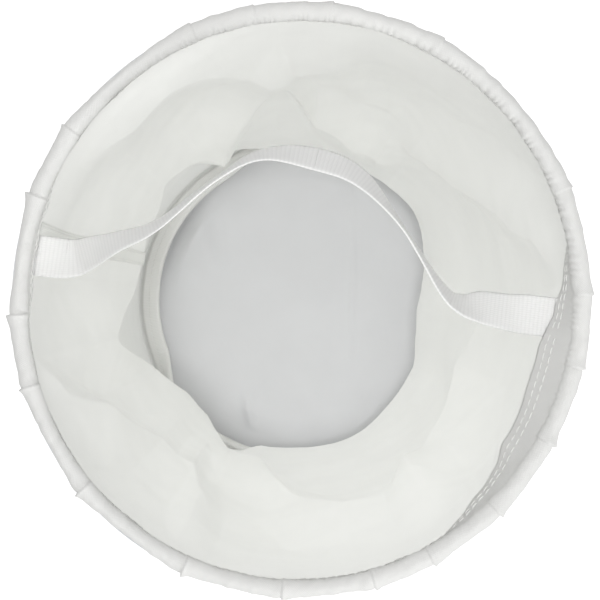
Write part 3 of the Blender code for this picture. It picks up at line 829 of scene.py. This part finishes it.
def make_side_seam(wall, tape_material, stitch_material):
    """The tape over the wall's side seam, laid on the wall's own surface, and its stitches."""
    cloth, strip, radius, angle, heights = wall
    rows = (heights > SIDE_TAPE_LOW) & (heights < SIDE_TAPE_HIGH)
    levels = heights[rows]

    def line(offset, inset):
        drift = SIDE_SEAM_DRIFT * np.sin(levels / (37 * MM))
        place = SIDE_SEAM_ANGLE + np.degrees(offset / RING_RADIUS) + drift
        column = place / 360 * len(angle)
        first = np.floor(column).astype(int)
        share = column - first
        values = radius[rows]
        each = np.arange(len(levels))
        found = values[each, first] * (1 - share) + values[each, first + 1] * share
        return around(found - inset, levels, place)

    offsets = np.linspace(-SIDE_TAPE_WIDTH / 2, SIDE_TAPE_WIDTH / 2, 9)
    points = np.stack([line(offset, SIDE_TAPE_INSET) for offset in offsets], 1)
    weave = np.stack(np.broadcast_arrays(offsets, levels[:, None]), -1)
    tape = add_grid("side_tape", points, weave, tape_material, thickness=SIDE_TAPE_THICKNESS)
    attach(tape, "base")
    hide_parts("side_seam_tape")
    pieces = [tape]
    inward = around(np.full_like(levels, -1.0), 0, SIDE_SEAM_ANGLE)
    for side, name in ((1, "back"), (-1, "front")):
        path = line(side * SIDE_STITCH_OFFSET, SIDE_STITCH_INSET)
        row = add_stitches("side_stitches_" + name, path, inward, stitch_material, radius=0.13 * MM)
        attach(row, "base")
        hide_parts("side_seam_thread_" + name)
        pieces.append(row)
    return pieces


def make_panel(material):
    """The bottom panel, with its edge turned up into the seam."""
    angle = ring_angles(360)
    disc = around(np.linspace(0.4 * MM, EDGE_MIDDLE[0], 110)[:, None], PANEL_LEVEL, angle)
    disc[..., 2] += bottom_relief(disc)

    def edge_line(lean, along, across, edge, foot):
        return np.concatenate((edge, [edge[-1] + BOTTOM_ALLOWANCE * along]))

    turned, _ = seam_rows(angle, edge_line)
    points = np.concatenate((disc, turned))
    weave = np.concatenate((points[..., :2], points[:, :1, :2]), 1)
    piece = add_grid("bottom_panel", points, weave, material, closed=True, caps=(True, False))
    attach(piece, "base")
    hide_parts("bottom_disc")
    return piece


def make_binding(material):
    """The tape folded over the bottom's seam. Returns it, and its uneven lift at each angle."""
    def tape_line(lean, along, across, edge, foot):
        root = edge[-1]
        lower = root - LAYER_PITCH * across
        upper = root + 2 * LAYER_PITCH * across
        middle = root + LAYER_PITCH / 2 * across + (BOTTOM_ALLOWANCE + 0.3 * MM) * along
        wrap = arc(middle, 1.5 * LAYER_PITCH, 270 - lean, 90 - lean, 8)
        shares = np.linspace(0.15, 0.95, 6)[:, None]
        under = lower + shares * (wrap[0] - lower)
        over = wrap[-1] + (1 - shares[::-1]) * (upper - wrap[-1])
        return np.concatenate((under, wrap, over))

    angle = ring_angles(1080)
    points, lines = seam_rows(angle, tape_line)
    lift = unevenness(points[-1], BINDING_WAVES)
    rise = np.clip((points[..., 2] - 1.5 * MM) / (4 * MM), 0, 1)
    points[..., 2] += np.clip(lift, *BINDING_LIFT) * rise
    weave = ring_weave(angle, run_along(lines[:, 0]), BOTTOM_RADIUS)[..., ::-1]
    piece = add_grid("bottom_tape", points, weave, material, closed=True,
                     thickness=BINDING_THICKNESS)
    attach(piece, "base")
    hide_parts("bottom_binding")
    return piece, angle, lift


def make_bottom_stitches(angle, lift, material):
    """The stitches through the binding, which follow its uneven lift."""
    def stitch_line(lean, along, across, edge, foot):
        spot = edge[-1] + (2 * LAYER_PITCH + 0.35 * MM) * across + 0.62 * BOTTOM_ALLOWANCE * along
        return np.stack((spot, across))

    ring = np.linspace(0, 360, 721)
    (path, out), _ = seam_rows(ring, stitch_line)
    lift = np.interp(ring, np.append(angle, 360), np.append(lift, lift[0]))
    path[:, 2] += np.clip(lift, *BINDING_LIFT) * 0.8
    piece = add_stitches("bottom_stitches", path, out, material)
    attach(piece, "base")
    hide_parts("bottom_seam_thread")
    return piece


def bottom_relief(points):
    """The bottom panel's soft bulges, its pucker at the front and its faint pressed line."""
    relief = 0.35 * MM * (ripple(points, 45 * MM, 31) + 1)
    for height, x, y, width, length, heading in BOTTOM_BULGES:
        c, s = math.cos(math.radians(heading)), math.sin(math.radians(heading))
        right, back = points[..., 0] / MM - x, points[..., 1] / MM - y
        along, across = right * c + back * s, back * c - right * s
        relief += height * MM * np.exp(-(along / length) ** 2 - (across / width) ** 2)
    hold = (BINDING_EDGE - np.hypot(points[..., 0], points[..., 1])) / (9 * MM)
    return np.maximum(relief, 0) * np.clip(hold, 0, 1)


def smooth_between(stations, place):
    """A smooth curve through the stations, at places from 0 to 1 along them."""
    stations = np.array(stations, float)
    last = len(stations) - 1
    index = np.minimum((place * last).astype(int), last - 1)
    share = (place * last - index)[:, None]
    a, b = stations[np.maximum(index - 1, 0)], stations[index]
    c, d = stations[index + 1], stations[np.minimum(index + 2, last)]
    return b + 0.5 * share * (c - a + share * (2 * a - 5 * b + 4 * c - d
                                               + share * (3 * (b - c) + d - a)))


def strap_spine():
    """The webbing's middle line and width direction, from one sewn end to the other."""
    values = smooth_between(STRAP_STATIONS, np.linspace(0, 1, 900))
    spine = values[:, :3] * (STRAP_HALF_SPAN, STRAP_RISE, STRAP_RISE)
    spine += (0, STRAP_OFFSET, HINGE_HEIGHT)
    tilt = values[:, 3]
    for side in (-1, 1):
        angle = np.array([STRAP_ANGLE if side > 0 else 180 - STRAP_ANGLE])
        turn_at = float(layer_radius(angle, FLANGE_BOTTOM, STRAP_TURN)[0])
        bend = arc(np.array((turn_at - STRAP_TURN, FLANGE_BOTTOM)), STRAP_TURN, -90, 0, 8)
        rise = np.linspace(FLANGE_BOTTOM, FLANGE_TOP, 14)[1:]
        up = np.stack((layer_radius(angle, rise, STRAP_TURN), rise), -1)
        flat = np.linspace(STRAP_HALF_SPAN + 0.2 * MM, bend[0][0], 12)[:-1]
        level = np.stack((flat, np.full_like(flat, HINGE_HEIGHT)), -1)
        line = np.concatenate((level, bend, up))
        tail = np.stack((side * line[:, 0], np.full(len(line), STRAP_OFFSET), line[:, 1]), -1)
        fade = np.clip(1 - np.arange(len(tail)) / len(flat), 0, 1)
        if side < 0:
            spine = np.concatenate((tail[::-1], spine))
            tilt = np.concatenate((tilt[0] * fade[::-1], tilt))
        else:
            spine = np.concatenate((spine, tail))
            tilt = np.concatenate((tilt, tilt[-1] * fade))
    return spine, tilt


def strap_directions(spine, tilt):
    """The directions of the webbing's width and of its face, at each point of its spine."""
    ahead = np.gradient(spine, axis=0)
    ahead /= np.linalg.norm(ahead, axis=1)[:, None]
    level = np.stack((-ahead[:, 1], ahead[:, 0], np.zeros(len(ahead))), -1)
    size = np.linalg.norm(level, axis=1)
    ends = np.abs(spine[:, 0]) > STRAP_HALF_SPAN * 0.985
    level = np.where(ends[:, None] | (size < 0.05)[:, None], (0, 1, 0),
                     level / np.maximum(size, 1e-6)[:, None])
    width = np.cos(tilt)[:, None] * level - np.sin(tilt)[:, None] * np.array((0, 0, 1))
    face = np.cross(ahead, width)
    face /= np.linalg.norm(face, axis=1)[:, None]
    return width, face


def strap_loops(spine, tilt, places, share):
    """Closed loops around the webbing, with its ribs and selvedges.

    places are the distances along it, and share goes from -1 to 1 across it.
    """
    width, face = strap_directions(spine, tilt)
    rib = (np.abs(np.sin(math.pi * places / WEBBING_RIB)) - 0.6) * RIB_HEIGHT
    body = 1 - np.clip((np.abs(share) - 0.86) / 0.06, 0, 1)
    selvedge = np.clip((np.abs(share) - 0.90) / 0.05, 0, 1) * SELVEDGE_HEIGHT
    edge = 1 - 0.55 * np.clip((np.abs(share) - 0.97) / 0.03, 0, 1)
    raised = (STRAP_THICKNESS / 2 - 0.25 * MM + rib[:, None] * body + selvedge) * edge
    half = STRAP_WIDTH / 2 + 0.06 * MM * np.sin(places / (9 * MM))
    middle = spine[:, None] + width[:, None] * (half[:, None] * share)[..., None]
    lift = face[:, None] * raised[..., None]
    return np.concatenate((middle + lift, (middle - lift)[:, ::-1]), 1)


def make_strap(material):
    """The handle, in two halves that each run from a sewn end to the middle of the arch."""
    spine, tilt = strap_spine()
    run = run_along(spine)
    places = np.linspace(0, run[-1], int(run[-1] / STRAP_STEP))
    spine = points_at(places, run, spine)
    share = np.linspace(-1, 1, 17)
    loops = strap_loops(spine, np.radians(np.interp(places, run, tilt)), places, share)
    across = np.concatenate((share, share[::-1], share[:1])) * STRAP_WIDTH / 2
    weave = np.stack(np.broadcast_arrays(across, places[:, None]), -1)
    middle = int(np.argmin(np.abs(spine[:, 0])))
    parts = (("strap_left", slice(0, middle + 1), "handle_end_left", -1),
             ("strap_right", slice(middle, None), "handle_end_right", 1))
    for name, rows, end, side in parts:
        piece = add_grid(name, loops[rows], weave[rows], material, closed=True, caps=(True, True))
        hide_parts(end, "handle_strap")
        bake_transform(piece)


# The stage

def seen_rays(tree):
    """One for the rays that show a thing to the camera, and none for the light it sheds."""
    path = add_node(tree, "ShaderNodeLightPath")
    seen = maths(tree, "ADD", path.outputs["Is Camera Ray"], path.outputs["Is Glossy Ray"])
    return maths(tree, "ADD", seen, path.outputs["Is Transmission Ray"])


def make_floor():
    """A plain floor that shows as white."""
    material, tree = empty_material("floor")
    diffuse = add_node(tree, "ShaderNodeBsdfDiffuse", {"Color": (0.88, 0.88, 0.88, 1)})
    strength = maths(tree, "MULTIPLY", seen_rays(tree), 0.35)
    glow = add_node(tree, "ShaderNodeEmission", {"Strength": strength})
    both = add_node(tree, "ShaderNodeAddShader", {0: diffuse.outputs[0], 1: glow.outputs[0]})
    add_node(tree, "ShaderNodeOutputMaterial", {"Surface": both.outputs[0]})
    half = 3.0
    corners = [(-half, -half, 0), (half, -half, 0), (half, half, 0), (-half, half, 0)]
    add_piece("floor", corners, [(0, 1, 2, 3)], material)


def make_world(strength):
    """Even light from all round, which itself shows as white."""
    world = bpy.data.worlds.new("studio")
    bpy.context.scene.world = world
    world.use_nodes = True
    tree = world.node_tree
    tree.nodes.clear()
    white = (1, 1, 1, 1)
    ambient = add_node(tree, "ShaderNodeBackground", {"Color": white, "Strength": strength})
    shown = add_node(tree, "ShaderNodeBackground", {"Color": white, "Strength": 1.0})
    mixed = mix_shaders(tree, seen_rays(tree), ambient, shown)
    add_node(tree, "ShaderNodeOutputWorld", {"Surface": mixed.outputs[0]})


def add_lamp(name, place, target, size, power):
    """A square lamp turned to its target."""
    lamp = bpy.data.lights.new(name, "AREA")
    lamp.size = size
    lamp.energy = power
    piece = bpy.data.objects.new(name, lamp)
    piece.location = place
    heading = Vector(target) - Vector(place)
    piece.rotation_euler = heading.to_track_quat("-Z", "Y").to_euler()
    bpy.context.scene.collection.objects.link(piece)


def make_camera():
    """Straight above the mouth, turned as the photograph is."""
    image_width = 600
    image_turn = 6.9  # degrees
    ring_distance = 0.490
    pixels_per_radian = 1606  # puts the 180 mm hem at 591 pixels from that distance
    camera = bpy.data.cameras.new("camera")
    camera.sensor_width = 36
    camera.lens = 36 * pixels_per_radian / image_width
    camera.clip_start = 0.01
    piece = bpy.data.objects.new("camera", camera)
    piece.location = (0, 0, RING_HEIGHT + ring_distance)
    piece.rotation_euler = (0, 0, math.radians(image_turn))
    bpy.context.scene.collection.objects.link(piece)
    bpy.context.scene.camera = piece


def main():
    """Builds the bag, the stage, the lights and the camera."""
    bpy.context.scene.view_settings.view_transform = "Standard"
    mesh_cloth = cloth_material(
        "mesh_cloth", (0.94, 0.945, 0.92), plain_weave(MESH_PITCH), relief=0.05 * MM,
        roughness=0.75, sheen=0.1, through=0.29, open_share=0.03, painted_shade="painted_shade")
    # The bottom panel's cloth is greyer than the wall's: painted shade for the little light that
    # reaches the bag's floor
    bottom_cloth = cloth_material(
        "bottom_cloth", (0.80, 0.805, 0.82), plain_weave(MESH_PITCH), relief=0.05 * MM,
        roughness=0.75, sheen=0.1, through=0.12)
    hem_cloth = cloth_material(
        "hem_cloth", (0.79, 0.79, 0.775), plain_weave(HEM_PITCH), relief=0.07 * MM,
        roughness=0.65, sheen=0.2, through=0.12)
    webbing = cloth_material(
        "webbing", (0.89, 0.89, 0.88), ribs(WEBBING_RIB, 0.7 * MM), relief=0.12 * MM,
        roughness=0.6, sheen=0.2, through=0.10)
    tape = cloth_material(
        "seam_tape", (0.96, 0.96, 0.94), ribs(TAPE_RIB, 0.6 * MM), relief=0.10 * MM,
        roughness=0.7, sheen=0.15, through=0.10)
    side_tape = cloth_material(
        "side_tape", (0.96, 0.965, 0.94), ribs(TAPE_RIB, 0.6 * MM), relief=0.05 * MM,
        roughness=0.7, sheen=0.15, through=0.04)
    thread = thread_material()
    make_hoop(steel_material())
    wall = make_wall(mesh_cloth)
    inner_face, outer_face = make_collar(hem_cloth)
    make_hem_stitches(inner_face, outer_face, thread)
    squashed = [wall[0]] + make_side_seam(wall, side_tape, thread)
    squashed.append(make_panel(bottom_cloth))
    binding, angle, lift = make_binding(tape)
    squashed += [binding, make_bottom_stitches(angle, lift, thread)]
    make_strap(webbing)
    for piece in squashed:
        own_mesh(piece)
    make_floor()
    make_world(0.58)
    add_lamp("overhead", place=(0.0, 0.0, 1.8), target=(0, 0, 0), size=0.3, power=10.4)
    add_lamp("key", place=(0.9, -1.35, 0.78), target=(0, 0, 0.38), size=0.6, power=10)
    make_camera()


main()
